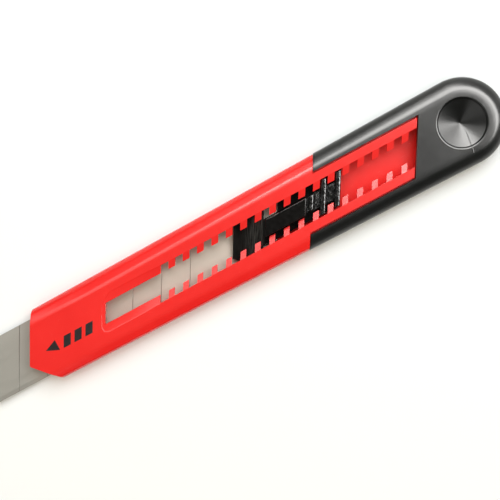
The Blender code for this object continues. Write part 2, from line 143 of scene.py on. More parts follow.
def carve(bm, operation, tool):
    """Exact Boolean of two meshes; both are used up."""
    pair = []
    for part in (bm, tool):
        bmesh.ops.recalc_face_normals(part, faces=part.faces)
        mesh = bpy.data.meshes.new("work")
        part.to_mesh(mesh)
        part.free()
        obj = bpy.data.objects.new("work", mesh)
        bpy.context.scene.collection.objects.link(obj)
        pair.append(obj)
    boolean = pair[0].modifiers.new("work", "BOOLEAN")
    boolean.operation = operation
    boolean.solver = "EXACT"
    boolean.object = pair[1]
    result = bmesh.new()
    result.from_object(pair[0], bpy.context.evaluated_depsgraph_get())
    for obj in pair:
        mesh = obj.data
        bpy.data.objects.remove(obj)
        bpy.data.meshes.remove(mesh)
    return clean(result)


def clean(bm):
    """Merge what the Boolean leaves split."""
    bmesh.ops.remove_doubles(bm, verts=bm.verts, dist=MERGE)
    bmesh.ops.dissolve_degenerate(bm, edges=bm.edges, dist=MERGE)
    bmesh.ops.dissolve_limit(
        bm, angle_limit=FLAT, verts=bm.verts, edges=bm.edges, use_dissolve_boundaries=False)
    return bm


def cut(bm, *tools):
    for tool in tools:
        bm = carve(bm, "DIFFERENCE", tool)
    return bm


def join(bm, *tools):
    for tool in tools:
        bm = carve(bm, "UNION", tool)
    return bm


def soften(bm, width, least, segments, where):
    """Round the convex edges that turn by at least `least` degrees and whose middle passes where()."""
    bmesh.ops.recalc_face_normals(bm, faces=bm.faces)
    chosen = []
    for edge in bm.edges:
        if len(edge.link_faces) != 2 or edge.calc_face_angle_signed() < math.radians(least):
            continue
        if where((edge.verts[0].co + edge.verts[1].co) / 2):
            chosen.append(edge)
    bmesh.ops.bevel(
        bm, geom=chosen, offset=width, offset_type="OFFSET", segments=segments, profile=0.5,
        affect="EDGES", clamp_overlap=True)
    bmesh.ops.remove_doubles(bm, verts=bm.verts, dist=MERGE)
    return bm


def finish_piece(name, bm, material, body, nodes=()):
    """Put a drawn piece into the row frame, in metres, and hand it to its CAD body."""
    bmesh.ops.recalc_face_normals(bm, faces=bm.faces)
    bm.transform(Matrix.Scale(MM, 4) @ Matrix.Translation((SHIFT, 0.0, 0.0)))
    mesh = bpy.data.meshes.new(name)
    bm.to_mesh(mesh)
    bm.free()
    for polygon in mesh.polygons:
        polygon.use_smooth = True
    mesh.set_sharp_from_angle(angle=CREASE)
    mesh.materials.append(material)
    obj = bpy.data.objects.new(name, mesh)
    bpy.context.scene.collection.objects.link(obj)
    weighted = obj.modifiers.new("normals", "WEIGHTED_NORMAL")
    weighted.mode = "FACE_AREA"
    weighted.weight = 50
    weighted.keep_sharp = True
    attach(obj, body)
    if nodes:
        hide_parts(*nodes)
    return obj


# ---------------------------------------------------------------- materials

class Nodes:
    """Short hand for a material's node tree."""

    def __init__(self, name):
        self.material = bpy.data.materials.new(name)
        self.material.use_nodes = True
        self.tree = self.material.node_tree
        self.shader = self.tree.nodes["Principled BSDF"]
        self.place = self.add("ShaderNodeTexCoord").outputs["Object"]

    def add(self, kind, **values):
        node = self.tree.nodes.new(kind)
        for key, value in values.items():
            setattr(node, key, value)
        return node

    def link(self, source, target):
        self.tree.links.new(source, target)

    def put(self, socket, value):
        """Link a socket into another, or set it to a plain value."""
        if isinstance(value, bpy.types.NodeSocket):
            self.link(value, socket)
        else:
            socket.default_value = value

    def mapped(self, scale):
        node = self.add("ShaderNodeMapping")
        self.link(self.place, node.inputs["Vector"])
        node.inputs["Scale"].default_value = scale
        return node.outputs["Vector"]

    def axes(self):
        node = self.add("ShaderNodeSeparateXYZ")
        self.link(self.place, node.inputs[0])
        return node.outputs

    def station(self):
        """Station, in metres in the row frame, of the point being shaded."""
        x, y, _ = self.axes()
        return self.math("SUBTRACT", x, self.math("MULTIPLY", y, LEAN))

    def leaning(self, across, along):
        """Texture space stretched along the leaning lines."""
        _, y, z = self.axes()
        node = self.add("ShaderNodeCombineXYZ")
        self.link(self.math("MULTIPLY", self.station(), across), node.inputs[0])
        self.link(self.math("MULTIPLY", y, along), node.inputs[1])
        self.link(self.math("MULTIPLY", z, along), node.inputs[2])
        return node.outputs[0]

    def noise(self, scale, detail=2.0, roughness=0.5, vector=None):
        node = self.add("ShaderNodeTexNoise")
        self.link(vector or self.place, node.inputs["Vector"])
        node.inputs["Scale"].default_value = scale
        node.inputs["Detail"].default_value = detail
        node.inputs["Roughness"].default_value = roughness
        return node.outputs["Fac"]

    def math(self, operation, a, b=0.0):
        node = self.add("ShaderNodeMath", operation=operation)
        self.put(node.inputs[0], a)
        self.put(node.inputs[1], b)
        return node.outputs[0]

    def spread(self, value, low, high, to_low, to_high):
        """The range low to high carried to the range to_low to to_high, and clamped there."""
        node = self.add("ShaderNodeMapRange", clamp=True)
        self.link(value, node.inputs["Value"])
        for key, number in zip(("From Min", "From Max", "To Min", "To Max"), (low, high, to_low, to_high)):
            node.inputs[key].default_value = number
        return node.outputs["Result"]

    def vary(self, noise, least, most):
        """A noise's middle range carried to the range least to most."""
        return self.spread(noise, 0.3, 0.7, least, most)

    def mix(self, factor, a, b):
        """Mix of two colours, each a socket or three numbers."""
        node = self.add("ShaderNodeMix", data_type="RGBA")
        self.put(node.inputs["Factor"], factor)
        self.put(node.inputs[6], a if isinstance(a, bpy.types.NodeSocket) else (*a, 1.0))
        self.put(node.inputs[7], b if isinstance(b, bpy.types.NodeSocket) else (*b, 1.0))
        return node.outputs[2]

    def bump(self, height, depth, strength, after=None):
        node = self.add("ShaderNodeBump")
        node.inputs["Strength"].default_value = strength
        node.inputs["Distance"].default_value = depth
        self.link(height, node.inputs["Height"])
        if after:
            self.link(after, node.inputs["Normal"])
        return node.outputs["Normal"]

    def use(self, **values):
        """Set the shader's sockets, named with underscores for spaces, and give the material."""
        for key, value in values.items():
            self.put(self.shader.inputs[key.replace("_", " ")], value)
        return self.material


def scratches(kit, scale):
    """Thin long marks: stretched noise, kept only at its peaks."""
    marks = kit.noise(1.0, 2.0, 0.6, kit.mapped(scale))
    return kit.spread(marks, 0.66, 0.72, 0.0, 1.0)


def red_plastic():
    kit = Nodes("red_plastic")
    broad = kit.noise(60.0, 3.0, 0.55)
    colour = kit.mix(kit.vary(broad, 0.0, 1.0), (0.79, 0.011, 0.009), (0.84, 0.015, 0.012))
    marks = scratches(kit, (500.0, 9000.0, 500.0))
    colour = kit.mix(kit.math("MULTIPLY", marks, 0.03), colour, (0.86, 0.08, 0.07))
    rough = kit.vary(kit.noise(500.0, 1.0), 0.25, 0.27)
    rough = kit.math("ADD", rough, kit.math("MULTIPLY", marks, 0.01))
    sink = kit.bump(kit.noise(140.0, 1.0), 0.00010, 0.10)
    return kit.use(Base_Color=colour, Roughness=rough, Normal=sink, Specular_IOR_Level=0.44)


def cap_plastic():
    kit = Nodes("cap_plastic")
    broad = kit.noise(90.0, 3.0, 0.6)
    colour = kit.mix(kit.vary(broad, 0.0, 1.0), (0.0030, 0.0033, 0.0030), (0.0060, 0.0064, 0.0058))
    marks = scratches(kit, (300.0, 5000.0, 300.0))
    colour = kit.mix(kit.math("MULTIPLY", marks, 0.1), colour, (0.03, 0.03, 0.028))
    rough = kit.vary(kit.noise(600.0, 1.0), 0.29, 0.32)
    grain = kit.bump(kit.noise(900.0, 1.0), 0.00001, 0.15)
    sink = kit.bump(kit.noise(160.0, 1.0), 0.00012, 0.30, grain)
    return kit.use(Base_Color=colour, Roughness=rough, Normal=weld_line(kit, sink), IOR=1.5)


def weld_line(kit, after):
    """Fine line left by the mould's flow, from near the dimple's middle to just past its rim."""
    start_x = 150.8
    slope = 0.22
    x, y, _ = kit.axes()
    across = kit.math("SUBTRACT", kit.math("SUBTRACT", x, row(start_x)), kit.math("MULTIPLY", y, slope))
    line = kit.spread(kit.math("ABSOLUTE", across), 0.04 * MM, 0.16 * MM, 1.0, 0.0)
    from_rim = kit.spread(y, -9.7 * MM, -9.1 * MM, 0.0, 1.0)
    length = kit.math("MULTIPLY", from_rim, kit.spread(y, -3.6 * MM, -2.6 * MM, 1.0, 0.0))
    return kit.bump(kit.math("MULTIPLY", line, length), 0.00006, 0.8, after)


def slider_plastic(name, sheen_strength):
    """Black moulding; a painted sheen, in streaks along the leaning lines, lightens its ramp."""
    kit = Nodes(name)
    # Painted sheen: lighter streaks where the ramp catches the light.
    painted_ramp_sheen = kit.spread(kit.noise(1.0, 3.0, 0.6, kit.leaning(2600.0, 160.0)), 0.40, 0.75, 0.0, 1.0)
    on_ramp = kit.spread(kit.station(), row(77.5), row(80.5), 0.12, 1.0)
    off_ramp = kit.spread(kit.station(), row(84.6), row(85.0), 1.0, 0.0)
    painted_ramp_sheen = kit.math("MULTIPLY", painted_ramp_sheen, kit.math("MULTIPLY", on_ramp, off_ramp))
    colour = kit.mix(kit.noise(400.0, 3.0), (0.0024, 0.0020, 0.0018), (0.0045, 0.0038, 0.0034))
    colour = kit.mix(kit.math("MULTIPLY", painted_ramp_sheen, sheen_strength), colour, (0.10, 0.098, 0.09))
    rough = kit.vary(kit.noise(900.0, 2.0), 0.16, 0.22)
    grain = kit.bump(kit.noise(1200.0, 2.0), 0.00001, 0.10)
    return kit.use(Base_Color=colour, Roughness=rough, Normal=grain, Specular_IOR_Level=0.4)


def spring_metal():
    """Blackened leaf with wear on it."""
    kit = Nodes("spring_metal")
    worn = kit.spread(kit.noise(1100.0, 3.0, 0.6), 0.60, 0.72, 0.0, 1.0)
    colour = kit.mix(worn, (0.003, 0.003, 0.003), (0.06, 0.058, 0.053))
    rough = kit.vary(kit.noise(1200.0, 2.0), 0.14, 0.30)
    dents = kit.bump(kit.noise(750.0, 2.0, 0.5), 0.00022, 0.8)
    return kit.use(Base_Color=colour, Roughness=rough, Normal=dents, IOR=1.6, Coat_Weight=0.3)


def blade_steel():
    """Rolled steel with a painted dark reflection at the tip, darker towards the slider, and painted shade
    along the score lines across it.
    """
    kit = Nodes("blade_steel")
    score_pitch = 10.0
    rolled = kit.noise(1.0, 3.0, 0.6, kit.mapped((60.0, 6000.0, 60.0)))
    stain = kit.noise(120.0, 4.0, 0.6)
    colour = kit.mix(kit.vary(stain, 0.0, 1.0), (0.455, 0.405, 0.345), (0.505, 0.455, 0.39))
    colour = kit.mix(kit.vary(rolled, 0.0, 0.12), colour, (0.42, 0.37, 0.32))
    station = kit.station()
    # Painted dark reflection: darker at the tip, where the steel would mirror the dark room overhead.
    tip_dark_reflection = kit.spread(station, row(2.0), row(14.0), 1.0, 0.0)
    colour = kit.mix(kit.math("MULTIPLY", tip_dark_reflection, 0.85), colour, (0.27, 0.265, 0.24))
    # Darker towards the slider.
    darker_to_slider = kit.spread(station, row(36.0), row(60.0), 0.0, 0.4)
    colour = kit.mix(darker_to_slider, colour, (0.35, 0.32, 0.275))
    # Painted shade: a dark line along each score groove, in front of station 62 only.
    from_tip = kit.math("SUBTRACT", station, row(BLADE_FRONT))
    from_line = kit.math("PINGPONG", from_tip, score_pitch / 2 * MM)
    score_shade_reach = kit.spread(station, row(62.0), row(63.0), 1.0, 0.0)
    line = kit.math("MULTIPLY", score_shade_reach, kit.spread(from_line, 0.06 * MM, 0.14 * MM, 0.7, 0.0))
    colour = kit.mix(line, colour, (0.12, 0.11, 0.10))
    rough = kit.vary(rolled, 0.38, 0.50)
    lines = kit.bump(rolled, 0.00001, 0.4)
    return kit.use(Base_Color=colour, Metallic=0.5, Roughness=rough, Normal=lines)


def mark_ink():
    kit = Nodes("mark_ink")
    colour = kit.mix(kit.noise(900.0, 3.0), (0.0025, 0.001, 0.001), (0.006, 0.002, 0.002))
    rough = kit.vary(kit.noise(1800.0, 2.0), 0.42, 0.58)
    return kit.use(Base_Color=colour, Roughness=rough, Specular_IOR_Level=0.3)


# ---------------------------------------------------------------- sleeve

# Outside. The half width is SLEEVE_HALF at x = TAPER_FROM and grows by SLEEVE_TAPER for each millimetre.
SLEEVE_TOP = 9.0
SLEEVE_HALF = 11.38
SLEEVE_TAPER = 0.0109
TAPER_FROM = 12.0
RING_SPACING = 1.5

# Nose: a slanted front edge, with a rounded upper corner and a cut lower corner.
NOSE_STATION = 4.35
NOSE_TOP = 8.2
NOSE_SLOPE_END = 22.0
NOSE_BLEND_END = 26.0
NOSE_BLEND = 18.0
NOSE_UPPER_Y = 11.45
NOSE_LOWER_Y = -3.4
NOSE_CUT_SLOPE = -1.1

# Rear: the full section ends at CAP_JOINT, the tongue at TONGUE_END and the spigot at SPIGOT_END.
CAP_JOINT = 100.4
TONGUE_END = 134.75
TONGUE_HALF = 7.5
SPIGOT_END = 141.0
SPIGOT_HALF = 10.3
SPIGOT_LOW = 1.3
SPIGOT_HIGH = 7.0
SPIGOT_LOW_CUT = 1.4
SPIGOT_HIGH_CUT = 0.8

# Recess round the window: wide in front, narrower behind RECESS_REAR.
RECESS_HALF = 5.27
RECESS_REAR_HALF = 4.97
RECESS_FALL = 0.29
RECESS_WIDE_END = 44.0
RECESS_REAR = 50.0

# Window with the rack: half width between the teeth's tips and in the gaps, and the gaps' lengths.
WINDOW_FRONT = 30.7
TIP_HALF = 2.82
ROOT_HALF = 4.95
RACK_START = 49.6
RACK_PITCH = 4.86
RACK_GAP = 2.58
LOWER_GAP = 2.95
RACK_GAPS = 18

# Inside: the channel that holds the blade, and the one above it that holds the slider.
BLADE_CHANNEL_HALF = 9.3
BLADE_CHANNEL_LOW = 2.4
BLADE_CHANNEL_HIGH = 3.5
SLIDER_CHANNEL_FRONT = 19.6
SLIDER_CHANNEL_HALF = 7.3
SLIDER_CHANNEL_LOW = 3.2
SLIDER_CHANNEL_HIGH = 7.2


def sleeve_height(x):
    """Height of the sleeve's face, which falls towards the nose."""
    if x >= NOSE_SLOPE_END:
        return SLEEVE_TOP
    return SLEEVE_TOP - (SLEEVE_TOP - NOSE_TOP) * (NOSE_SLOPE_END - x) / (NOSE_SLOPE_END - NOSE_STATION)


def sleeve_side(half, height, nose, side, inset, drop, edge, bend):
    """Corners of one side of the sleeve's section, and how far each is rounded.

    The face ends `inset` from the side, and the shoulder falls from there by `drop`."""
    corners = [
        (half - 3.4, 0.0), (half - 1.1, 1.6), (half, 3.4), (half, height - drop - 1.6 + 0.4 * nose),
        (half - edge, height - drop), (half - inset, height)]
    reach = [0.8, 0.35, 0.6, 0.9, bend, 0.9 + 0.2 * nose]
    return [(side * y, z) for y, z in corners][::side], reach[::side]


def sleeve_ring(x):
    """Section of the sleeve: the upper shoulder is steeper than the lower; both narrow at the nose."""
    half = SLEEVE_HALF + SLEEVE_TAPER * (x - TAPER_FROM)
    height = sleeve_height(x)
    nose = min(1.0, max(0.0, (NOSE_BLEND_END - x) / NOSE_BLEND))
    upper, upper_reach = sleeve_side(
        half, height, nose, side=1,
        inset=3.9 - 0.004 * x - 0.55 * nose, drop=1.75 - 0.5 * nose, edge=1.1 - 0.4 * nose, bend=0.9)
    lower, lower_reach = sleeve_side(
        half, height, nose, side=-1,
        inset=3.4 - 0.6 * nose, drop=1.05 - 0.1 * nose, edge=0.7, bend=0.5)
    return [(x, y, z) for y, z in rounded(upper + lower, upper_reach + lower_reach, steps=5)]


def sleeve_plan():
    """Outline of the sleeve in plan; only the nose and the slanted rear cut into the rings."""
    top_x = NOSE_STATION + NOSE_UPPER_Y * LEAN
    low_x = NOSE_STATION + NOSE_LOWER_Y * LEAN
    outline = [
        (top_x + FAR, NOSE_UPPER_Y + 0.1), (top_x, NOSE_UPPER_Y), (low_x, NOSE_LOWER_Y),
        (low_x + (-NOSE_LOWER_Y - 2 * FAR) / NOSE_CUT_SLOPE, -2 * FAR),
        (SPIGOT_END - 2 * FAR * LEAN, -2 * FAR), (SPIGOT_END + 2 * FAR * LEAN, 2 * FAR),
        (top_x + FAR, 2 * FAR)]
    return rounded(outline, [0, 0.7, 0.5, 0, 0, 0, 0], steps=6)


def recess_ring(drop, front_drop, grow, front):
    """Outline of the recess at one depth: drop behind RECESS_WIDE_END, front_drop before it."""
    half = RECESS_HALF + grow
    rear_half = RECESS_REAR_HALF - drop / RECESS_FALL
    rear = SPIGOT_END + FAR
    lower_corner = [
        (front, -half + 2.2 + 0.5 * grow), (front + 0.9, -half + 0.75 + 0.2 * grow),
        (front + 2.6 + 0.5 * grow, -half)]
    upper_corner = [(front + 2.2, half), (front, half - 2.4)]
    plan = lower_corner + [
        (RECESS_WIDE_END, -half), (RECESS_REAR, -rear_half), (rear, -rear_half),
        (rear, rear_half), (RECESS_REAR, rear_half), (RECESS_WIDE_END, half)] + upper_corner
    return [
        (x, y, SLEEVE_TOP - (front_drop if station < RECESS_WIDE_END else drop))
        for (x, y), (station, _) in zip(leaning(plan), plan)]


def recess():
    """Recess round the window: a short steep rim, almost flat in front, then a fall to the tooth tips."""
    return loft([
        recess_ring(drop=0.80, front_drop=0.30, grow=-2.45, front=36.0),
        recess_ring(drop=0.14, front_drop=0.16, grow=-0.26, front=29.75),
        recess_ring(drop=0.0, front_drop=0.0, grow=0.0, front=29.5),
        recess_ring(drop=-0.6, front_drop=-0.6, grow=1.05, front=28.4)])


def rack_edge(gap):
    """One long edge of the window from front to rear, with tooth gaps of the given length."""
    edge = [(WINDOW_FRONT, -TIP_HALF)]
    reach = [0.12]
    for i in range(RACK_GAPS):
        start = RACK_START + i * RACK_PITCH
        end = start + gap
        edge += [(start, -TIP_HALF), (start, -ROOT_HALF), (end, -ROOT_HALF), (end, -TIP_HALF)]
        reach += [0.2, 0.1, 0.1, 0.2]
    return edge + [(SPIGOT_END + FAR, -TIP_HALF)], reach + [0]


def rack_plan():
    """Outline of the toothed window in plan: a long slot with a row of gaps on either side."""
    lower, lower_reach = rack_edge(LOWER_GAP)
    upper, upper_reach = rack_edge(RACK_GAP)
    outline = lower + [(station, -y) for station, y in reversed(upper)]
    return leaning(rounded(outline, lower_reach + list(reversed(upper_reach)), steps=3))


def spigot_side(gap):
    """Corners (y, z) of the spigot's side from low to high, all moved outwards by gap."""
    half = SPIGOT_HALF + gap
    low = SPIGOT_LOW - gap
    high = SPIGOT_HIGH + gap
    return [
        (half - SPIGOT_LOW_CUT, low), (half, low + SPIGOT_LOW_CUT),
        (half, high - SPIGOT_HIGH_CUT), (half - SPIGOT_HIGH_CUT, high)]


def flank_cutter(side):
    """Takes away what the cap's leg covers, all round the side of the spigot."""
    section = [(TONGUE_HALF, SLEEVE_TOP + FAR), (TONGUE_HALF, SPIGOT_HIGH)]
    section += reversed(spigot_side(0.0))
    section += [(TONGUE_HALF, SPIGOT_LOW), (TONGUE_HALF, -FAR), (WIDE, -FAR), (WIDE, SLEEVE_TOP + FAR)]
    return leaning_bar([(side * y, z) for y, z in section], CAP_JOINT, SPIGOT_END + FAR)


def outer_sleeve():
    """Outside of the sleeve with its nose softened; the first rings and the last one are spare length."""
    places = [-22.0, -12.0] + [-4.0 + RING_SPACING * i for i in range(24)] + [SPIGOT_END + FAR]
    sleeve = loft([sleeve_ring(x) for x in places])
    sleeve = carve(sleeve, "INTERSECT", plan_prism(sleeve_plan(), -FAR, SLEEVE_TOP + FAR))
    return soften(
        sleeve, width=0.3, least=25.0, segments=3,
        where=lambda at: at.x < NOSE_STATION + 8.6 and at.y < NOSE_UPPER_Y - 0.25)


def cut_window(sleeve):
    """Cut the recess, then the window with its teeth, and soften both."""
    sleeve = cut(sleeve, recess())
    sleeve = soften(
        sleeve, width=0.10, least=15.0, segments=2,
        where=lambda at: at.z > 8.95 and 24.0 < at.x < RECESS_REAR and abs(at.y) < 5.6)
    sleeve = cut(sleeve, plan_prism(rack_plan(), SLIDER_CHANNEL_HIGH - 0.5, SLEEVE_TOP + 1.0))
    return soften(
        sleeve, width=0.15, least=40.0, segments=2,
        where=lambda at: at.z > 8.0 and abs(at.y) < 5.1 and 29.0 < at.x < SPIGOT_END + 2.0)


def cut_inside(sleeve):
    """Cut the channels and the steps that the cap slides over, and soften the tongue's edges."""
    rear = SPIGOT_END + FAR
    blade_section = box_section(BLADE_CHANNEL_HALF, BLADE_CHANNEL_LOW, BLADE_CHANNEL_HIGH)
    slider_section = box_section(SLIDER_CHANNEL_HALF, SLIDER_CHANNEL_LOW, SLIDER_CHANNEL_HIGH)
    sleeve = cut(
        sleeve,
        leaning_bar(blade_section, -2 * FAR, rear),
        leaning_bar(slider_section, SLIDER_CHANNEL_FRONT, rear),
        flank_cutter(1),
        flank_cutter(-1))
    for low, high in ((SPIGOT_HIGH, SLEEVE_TOP + FAR), (-FAR, SPIGOT_LOW)):
        sleeve = cut(sleeve, leaning_bar(box_section(WIDE, low, high), TONGUE_END, rear))
    return soften(
        sleeve, width=0.15, least=40.0, segments=2,
        where=lambda at: at.z > 6.9 and at.x - at.y * LEAN > CAP_JOINT - 0.1 and abs(at.y) > 5.6)


def build_sleeve(material):
    sleeve = cut_inside(cut_window(outer_sleeve()))
    return finish_piece("sleeve_body", sleeve, material, "handle", ["sleeve"])


# ---------------------------------------------------------------- printed mark

ARROW = [(9.2, -1.45), (13.3, -3.15), (13.3, 0.25)]
BAR_STARTS = (14.5, 18.3, 22.1)
BAR_LENGTH = 2.5
BAR_LOW = -3.15
BAR_HIGH = 0.05
INK_SUNK = 0.02
INK_PROUD = 0.012
FILM_HALF = 4.0
FILM_PLACES = (6.0, NOSE_SLOPE_END, 30.0)


def mark_bar(x):
    """Outline of one bar, which leans like the blade's score lines."""
    lean = (BAR_HIGH - BAR_LOW) * LEAN
    return [
        (x, BAR_LOW), (x + BAR_LENGTH, BAR_LOW),
        (x + BAR_LENGTH + lean, BAR_HIGH), (x + lean, BAR_HIGH)]


def ink_film():
    """Thin layer along the face of the nose; the mark is cut out of it."""
    rings = []
    for x in FILM_PLACES:
        height = sleeve_height(x)
        section = box_section(FILM_HALF, height - INK_SUNK, height + INK_PROUD)
        rings.append([(x, y, z) for y, z in section])
    return loft(rings)


def build_mark(material):
    """Generic printed arrow with three bars, pointing to the blade, just proud of the nose's face."""
    stamp = bmesh.new()
    for shape in [ARROW] + [mark_bar(x) for x in BAR_STARTS]:
        part = plan_prism(rounded(shape, 0.2, steps=3), 0.0, SLEEVE_TOP + 1.0)
        mesh = bpy.data.meshes.new("work")
        part.to_mesh(mesh)
        part.free()
        stamp.from_mesh(mesh)
        bpy.data.meshes.remove(mesh)
    return finish_piece("arrow_mark", carve(stamp, "INTERSECT", ink_film()), material, "handle")


# ---------------------------------------------------------------- end cap

# CAP_GAP is the play between cap and sleeve; FORK_HALF is half the space between the cap's legs.
CAP_TOP = 9.4
CAP_CENTRE = 150.2
CAP_RADIUS = 13.15
CAP_TAPER = 0.0133
CAP_INNER = 135.1
CAP_GAP = 0.16
FORK_HALF = 8.05

# Section of the cap's outside as (inset, height) corners, and how far each is rounded.
CAP_SECTION = [
    (4.6, 0.0), (3.1, 0.0), (1.1, 1.4), (0.25, 2.6), (0.0, 3.7), (0.0, 5.4), (0.25, 6.6), (1.15, 7.75),
    (3.15, 9.2), (4.6, CAP_TOP), (7.0, CAP_TOP)]
CAP_ROUNDING = [0, 0.8, 0.5, 0.4, 0.4, 0.4, 0.6, 0.9, 1.3, 0.9, 0]

# Thumb dimple as (radius, height over the cap's face) rings: a cone with a steep step at its rim.
DIMPLE_X = CAP_CENTRE - 0.4
DIMPLE_Y = -0.1
DIMPLE_RINGS = [
    (0.02, -4.50), (0.30, -4.40), (0.75, -4.15), (6.92, -0.72), (7.06, -0.60), (7.12, -0.45),
    (7.18, -0.28), (7.32, -0.12), (7.52, -0.03), (7.80, 0.02), (8.1, 0.3)]


def cap_ring(inset, height):
    """Outline of the cap at one height, set in from its widest outline."""
    front = CAP_JOINT - 12.0
    radius = CAP_RADIUS - inset
    half = CAP_RADIUS - CAP_TAPER * (CAP_CENTRE - front) - inset
    steps = 48
    angles = [math.pi / 2 - math.pi * i / steps for i in range(steps + 1)]
    arc = [(CAP_CENTRE + radius * math.cos(a), radius * math.sin(a), height) for a in angles]
    return [(front, -half, height), (front, half, height)] + arc


def dimple():
    return pin(DIMPLE_X, DIMPLE_Y, [(r, CAP_TOP + z) for r, z in DIMPLE_RINGS], steps=96)


def cap_pocket(front):
    """Space for the spigot, grown by the play."""
    side = spigot_side(CAP_GAP)
    return leaning_bar(side + [(-y, z) for y, z in reversed(side)], front, SPIGOT_END + CAP_GAP)


def build_cap(material):
    profile = rounded(CAP_SECTION, CAP_ROUNDING, steps=5, closed=False)
    before = CAP_JOINT - 2 * FAR
    cap = cut(
        loft([cap_ring(inset, height) for inset, height in profile]),
        dimple(),
        leaning_bar(box_section(WIDE, -FAR, FAR), before, CAP_JOINT + CAP_GAP),
        leaning_bar(box_section(FORK_HALF, -FAR, FAR), before, CAP_INNER))
    cap = soften(
        cap, width=0.2, least=35.0, segments=3,
        where=lambda at: at.x - at.y * LEAN < CAP_INNER + 0.1 and (at.z > 1.0 or abs(at.y) > 8.2))
    cap = cut(cap, cap_pocket(before))
    return finish_piece("cap_body", cap, material, "cap", ["end_cap"])


# ---------------------------------------------------------------- slider

# Front plate of the carrier, with a ramp that rises from RAMP_FOOT to RAMP_END.
PLATE_FRONT = 74.0
PLATE_HALF = 6.9
PLATE_LOW = 3.5
PLATE_TOP = 5.4
PLATE_CORNER_Y = -3.67
RAMP_FOOT = 78.75
RAMP_END = 84.4
RAMP_RISE = 1.5
RIPPLE = 0.045
RIPPLES = 5
BLADE_PIN = 81.5

# Flat tail of the carrier under the leaf, with a wider flange, and the boss that the leaf stands on.
TAIL_FRONT = 80.0
TAIL_END = 110.2
TAIL_LOW = 3.6
TAIL_HIGH = 4.5
TAIL_HALF = 2.3
FLANGE_FRONT = 89.0
FLANGE_HALF = 4.7
BOSS_FRONT = 84.0
BOSS_REAR = 88.4
BOSS_LOW = 3.9
BOSS_TOP = 6.0
BOSS_HALF = 2.0

# The stake holds the leaf to the carrier; the peg holds the pad to the leaf.
STAKE = 86.6
PEG = 94.0

# Leaf with two wings in the rack's gaps. Behind the pad it carries a rib, three fine ribs and a cross.
LEAF_FRONT = 85.0
LEAF_LOW = 6.3
LEAF_HIGH = 6.7
LEAF_HALF = 2.0
BRIDGE_TOP = 7.1
BRIDGE_HALF = 2.25
WING_GAPS = (11, 12)
RIDGE_LOW = 6.5
RIB = 100.4
FINE_RIBS = 3
FINE_RIB_START = 101.75
FINE_RIB_PITCH = 0.62
FINE_RIB_LENGTH = 0.34

# Thumb pad.
PAD_REAR = 98.5
PAD_LOW = 7.6
PAD_TOP = 10.3
PAD_HALF = 2.25
PAD_STEP = 89.5
PAD_STEP_LOW = 7.0


def ramp_profile():
    """Rippled ramp as (station, z) points from its foot to its end."""
    points = []
    steps = 24
    for i in range(steps + 1):
        share = i / steps
        station = RAMP_FOOT + (RAMP_END - RAMP_FOOT) * share
        rise = RAMP_RISE * (1 - math.cos(share * math.pi / 2))
        ripple = RIPPLE * math.sin(share * RIPPLES * 2 * math.pi)
        points.append((station, PLATE_TOP + rise + ripple))
    return points


def corner_wedge():
    """Takes the lower front corner off the carrier's plate."""
    front = PLATE_FRONT + PLATE_CORNER_Y * LEAN
    outline = [
        (front, PLATE_CORNER_Y), (front - FAR, PLATE_CORNER_Y), (front - FAR, -10.6), (front + 5.9, -10.6)]
    return plan_prism(outline, 0.0, SLEEVE_TOP)


def build_carrier(material):
    front = [(PLATE_FRONT, PLATE_TOP), (PLATE_FRONT, PLATE_LOW)]
    profile = [(RAMP_END, PLATE_LOW)] + list(reversed(ramp_profile())) + front
    carrier = cut(cross_bar(profile, PLATE_HALF), corner_wedge())
    carrier = soften(carrier, width=0.18, least=40.0, segments=3, where=lambda at: at.z > 4.0)
    carrier = join(
        carrier,
        cross_bar(box_profile(TAIL_FRONT, TAIL_END, TAIL_LOW, TAIL_HIGH), TAIL_HALF),
        cross_bar(box_profile(FLANGE_FRONT, TAIL_END, TAIL_LOW, TAIL_HIGH), FLANGE_HALF),
        cross_bar(box_profile(BOSS_FRONT, BOSS_REAR, BOSS_LOW, BOSS_TOP), BOSS_HALF),
        cross_bar(box_profile(BOSS_FRONT, FLANGE_FRONT + 0.4, TAIL_LOW, TAIL_HIGH), -1.8, -FLANGE_HALF),
        pin(STAKE, 0.0, [(0.8, 4.2), (0.8, 6.8), (0.65, 6.95)]),
        pin(BLADE_PIN, 0.0, [(1.9, 2.7), (2.2, 5.1)], steps=32))
    return finish_piece("carrier_body", carrier, material, "carriage", ["blade_carrier"])


def rounded_bar(front, rear, high, reach, half):
    """Bar across the leaf with a rounded top."""
    profile = rounded(box_profile(front, rear, RIDGE_LOW, high), [0, 0, reach, reach], steps=5)
    return cross_bar(profile, half)


def ridge(station, half_length, high, reach, half):
    """Rounded bar with its ends softened too."""
    bar = rounded_bar(station - half_length, station + half_length, high, reach, half)
    return soften(
        bar, width=0.3, least=30.0, segments=3, where=lambda at: abs(at.y) > half - 0.1 and at.z > 6.6)


def crossed_line(middle, turn):
    """One stroke of the raised cross between the wings."""
    line = [(-1.6, -1.9), (-1.1, -1.9), (1.6, 1.9), (1.1, 1.9)]
    return plan_prism(leaning([(middle + along, turn * y) for along, y in line]), 6.9, 7.6)


